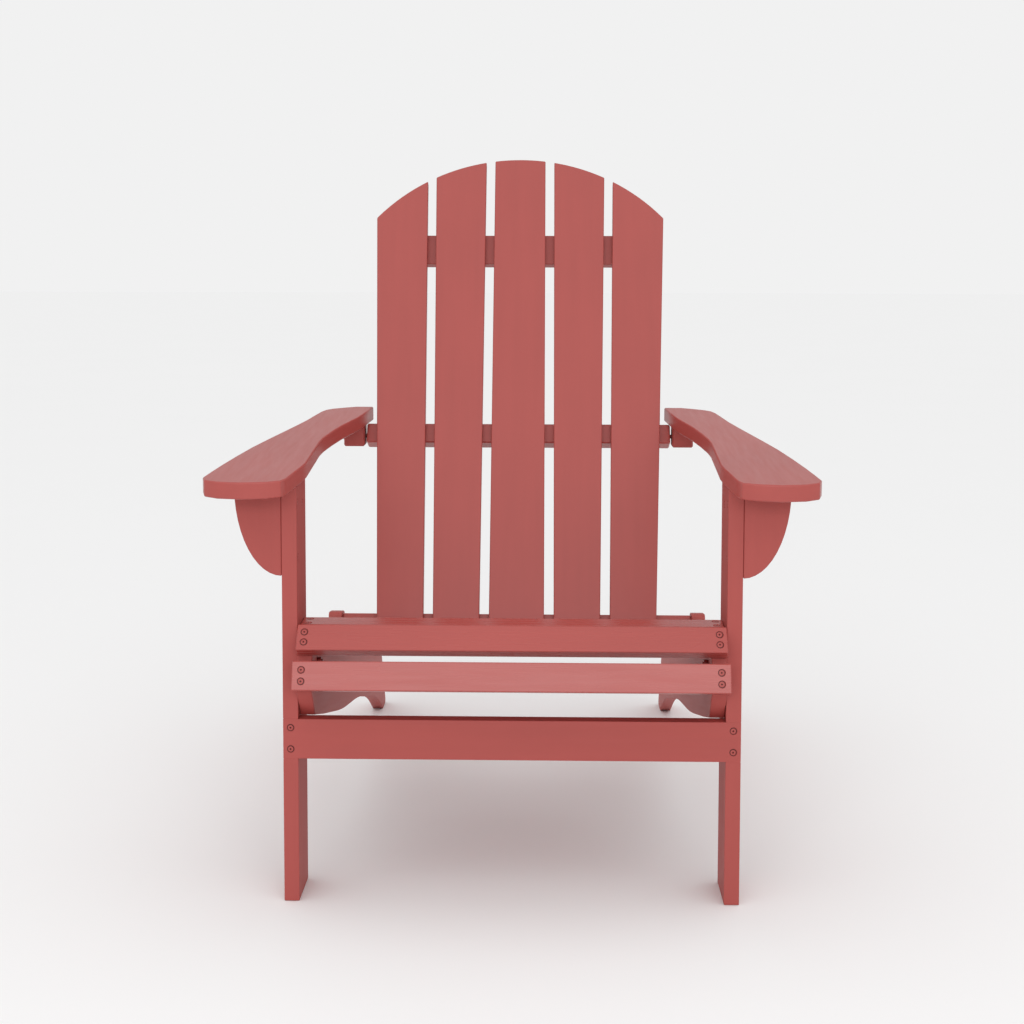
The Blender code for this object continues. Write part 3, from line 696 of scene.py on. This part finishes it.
class CHAIR_OT_screws(bpy.types.Operator):
    """Put a cross-head screw in every countersunk hole"""
    bl_idname = "chair.screws"
    bl_label = "Screws"

    def execute(self, context):
        patterns = {}
        bite = context.scene.chair_joints.screw_bite
        for node in sorted(NODES):
            if "_screw" in node:
                start, out, length = turned_axis(node)
                screw = place_copy(screw_of_length(patterns, length), node + "_head",
                                   start + out * 0.0003, out)
                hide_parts(node)
        extra = []
        for number in range(3, 9):
            node = "seat_slat_%d" % number
            extra += [(node, *place) for place in seat_screw_places(node)]
        for rail, places in back_screw_places().items():
            extra += [(rail, *place) for place in places]
        for side in ("left", "right"):
            for node, places in arm_screw_places(side).items():
                extra += [(node, *place) for place in places]
        counts = {}
        for node, start, out, through in extra:
            counts[node] = counts.get(node, 0) + 1
            screw = place_copy(screw_of_length(patterns, through + bite),
                               "%s_fixing_%d" % (node, counts[node]), start, out)
        for pattern in patterns.values():
            bpy.data.objects.remove(pattern, do_unlink=True)
        return {'FINISHED'}


class CHAIR_OT_bolts(bpy.types.Operator):
    """Finish the bolts and nuts"""
    bl_idname = "chair.bolts"
    bl_label = "Bolts and Nuts"

    def execute(self, context):
        for node in sorted(NODES):
            if "_bolt" in node or "_nut" in node:
                piece = copied_board(node, node + "_coated")
                select_only(piece)
                apply_modifier(piece, 'BEVEL', width=BOLT_EDGE, segments=2,
                               limit_method='ANGLE', angle_limit=SHADE_ANGLE)
                select_only(piece)
                bpy.ops.object.shade_smooth_by_angle(angle=METAL_ANGLE)
                piece.data.materials.clear()
                piece.data.materials.append(bolt_coat())
                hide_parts(node)
                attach(piece, "root")
        return {'FINISHED'}


# ---------------------------------------------------------------- stage

def overhead_light(stage):
    """A very broad sun, so that shadows stay soft and the floor is lit evenly."""
    bpy.ops.object.light_add(type='SUN', location=(0, -1, 3), rotation=(math.radians(20), 0, 0))
    light = bpy.context.object
    light.name = "overhead"
    light.data.energy = stage.overhead
    light.data.angle = math.radians(90)
    return light


def front_soft_box(stage, front):
    """A long low box whose reflection lies on the slats of the seat's front."""
    place = Vector((0, front - 3.0, 1.45))
    aim = Vector((0, front, 0.35)) - place
    bpy.ops.object.light_add(type='AREA', location=place)
    light = bpy.context.object
    light.name = "front_soft_box"
    light.rotation_euler = aim.to_track_quat('-Z', 'Y').to_euler()
    light.data.shape = 'RECTANGLE'
    light.data.size = 3.2
    light.data.size_y = 0.6
    light.data.energy = stage.key_power
    return light


def even_surroundings(tree, stage):
    """A pale backdrop behind the chair, and a weaker even light on it."""
    lit = tree.nodes["Background"]
    grey = stage.surroundings
    lit.inputs['Color'].default_value = (grey, grey, grey, 1)
    seen = tree.nodes.new('ShaderNodeBackground')
    grey = stage.backdrop
    seen.inputs['Color'].default_value = (grey, grey, grey, 1)
    path = tree.nodes.new('ShaderNodeLightPath')
    mix = tree.nodes.new('ShaderNodeMixShader')
    tree.links.new(path.outputs['Is Camera Ray'], mix.inputs['Fac'])
    tree.links.new(lit.outputs['Background'], mix.inputs[1])
    tree.links.new(seen.outputs['Background'], mix.inputs[2])
    tree.links.new(mix.outputs['Shader'], tree.nodes["World Output"].inputs['Surface'])


def floor_paper():
    """Pale, matt and all but even."""
    material = bpy.data.materials.new("floor_paper")
    material.use_nodes = True
    nodes = material.node_tree.nodes
    links = material.node_tree.links
    shader = nodes["Principled BSDF"]
    place = nodes.new('ShaderNodeTexCoord')
    pattern = nodes.new('ShaderNodeTexNoise')
    pattern.inputs['Scale'].default_value = 1.5
    links.new(place.outputs['Object'], pattern.inputs['Vector'])
    shade = tinted(nodes, links, pattern.outputs['Fac'],
                   (0.885, 0.885, 0.885), (0.895, 0.895, 0.895))
    links.new(shade, shader.inputs['Base Color'])
    shader.inputs['Roughness'].default_value = 0.9
    shader.inputs['Specular IOR Level'].default_value = 0.0
    return material


class CHAIR_OT_stage(bpy.types.Operator):
    """Set up the camera, the pale floor and the soft light"""
    bl_idname = "chair.stage"
    bl_label = "Stage"

    def execute(self, context):
        stage = context.scene.chair_stage
        scene = context.scene
        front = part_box("front_leg_left")[0].y
        bpy.ops.object.select_all(action='DESELECT')
        bpy.ops.mesh.primitive_plane_add(size=FLOOR_SIZE, location=(0, 0, -FLOOR_DROP))
        floor = context.object
        floor.name = "studio_floor"
        floor.data.materials.append(floor_paper())
        world = bpy.data.worlds.new("studio_surroundings")
        world.use_nodes = True
        even_surroundings(world.node_tree, stage)
        scene.world = world
        overhead_light(stage)
        front_soft_box(stage, front)
        place = (stage.camera_offset, front - stage.camera_distance, stage.camera_height)
        bpy.ops.object.camera_add(location=place)
        camera = context.object
        camera.data.lens = stage.focal_length
        camera.data.sensor_width = 36
        camera.data.shift_y = CAMERA_SHIFT
        camera.data.clip_end = 100
        turn = Matrix.Rotation(CAMERA_YAW, 4, 'Z') @ Matrix.Rotation(CAMERA_PITCH, 4, 'X')
        turn = turn @ Matrix.Rotation(CAMERA_ROLL, 4, 'Z')
        camera.matrix_world = Matrix.Translation(place) @ turn
        scene.camera = camera
        scene.view_settings.view_transform = 'Standard'
        return {'FINISHED'}


class CHAIR_PT_finish(bpy.types.Panel):
    """Lists the chair's finishing steps"""
    bl_label = "Chair Finish"
    bl_idname = "CHAIR_PT_finish"
    bl_space_type = 'VIEW_3D'
    bl_region_type = 'UI'
    bl_category = "Chair"

    def draw(self, context):
        layout = self.layout
        for group in ("chair_paint", "chair_joints", "chair_stage"):
            settings = getattr(context.scene, group)
            box = layout.box()
            for name in settings.__annotations__:
                box.prop(settings, name)
        for step in STEPS:
            layout.operator(step.bl_idname)


STEPS = (CHAIR_OT_stage, CHAIR_OT_lower_frame, CHAIR_OT_seat, CHAIR_OT_back, CHAIR_OT_arms,
         CHAIR_OT_screws, CHAIR_OT_bolts)
CLASSES = (ChairPaintSettings, ChairJointSettings, ChairStageSettings, *STEPS, CHAIR_PT_finish)


def register():
    for item in CLASSES:
        bpy.utils.register_class(item)
    bpy.types.Scene.chair_paint = PointerProperty(type=ChairPaintSettings)
    bpy.types.Scene.chair_joints = PointerProperty(type=ChairJointSettings)
    bpy.types.Scene.chair_stage = PointerProperty(type=ChairStageSettings)


def unregister():
    del bpy.types.Scene.chair_stage
    del bpy.types.Scene.chair_joints
    del bpy.types.Scene.chair_paint
    for item in reversed(CLASSES):
        bpy.utils.unregister_class(item)


def main():
    register()
    bpy.ops.chair.stage()
    bpy.ops.chair.lower_frame()
    bpy.ops.chair.seat()
    bpy.ops.chair.back()
    bpy.ops.chair.arms()
    bpy.ops.chair.screws()
    bpy.ops.chair.bolts()


if __name__ == "__main__":
    main()
